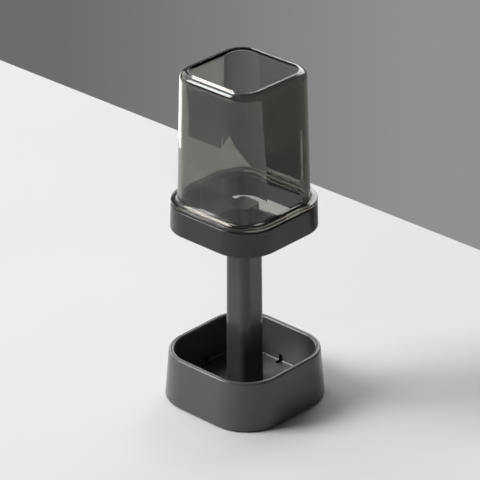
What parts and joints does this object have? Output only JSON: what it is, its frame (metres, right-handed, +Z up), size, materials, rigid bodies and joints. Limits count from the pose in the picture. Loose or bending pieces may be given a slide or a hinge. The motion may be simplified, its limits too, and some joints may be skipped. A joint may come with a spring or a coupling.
{
  "type": "toothbrush holder",
  "caption": "Rounded square toothbrush holder: open drain tray with a centre post, a divided ring on the post and an open smoke-clear sleeve on the ring.",
  "frame": {"origin": "on the counter, under the middle of the tray", "axes": "+Z up along the post; +X and +Y square to the sides of the tray"},
  "size_m": [0.0898, 0.0898, 0.2286],
  "materials": {
    "tray_plastic": "dark grey satin moulded plastic",
    "post_plastic": "dark grey satin moulded plastic",
    "ring_plastic": "near-black polished moulded plastic",
    "smoke_clear": "polished smoke-tinted clear plastic",
    "steel": "plain stainless steel",
    "silicone": "soft dark silicone"
  },
  "bodies": {
    "base": {"drain_tray": "tray_plastic", "centre_post": "post_plastic", "post_screw": "steel", "screw_washer": "steel", "foot_pad_right_rear": "silicone", "foot_pad_right_front": "silicone", "foot_pad_left_rear": "silicone", "foot_pad_left_front": "silicone"},
    "ring": {"divider_ring": "ring_plastic"},
    "sleeve": {"clear_sleeve": "smoke_clear"}
  },
  "joints": [
    {"name": "ring_lift", "type": "slide", "parent": "base", "child": "ring", "axis": [0, 0, 1], "range_m": [0, 0.03]},
    {"name": "sleeve_lift", "type": "slide", "parent": "ring", "child": "sleeve", "axis": [0, 0, 1], "range_m": [0, 0.05]}
  ]
}
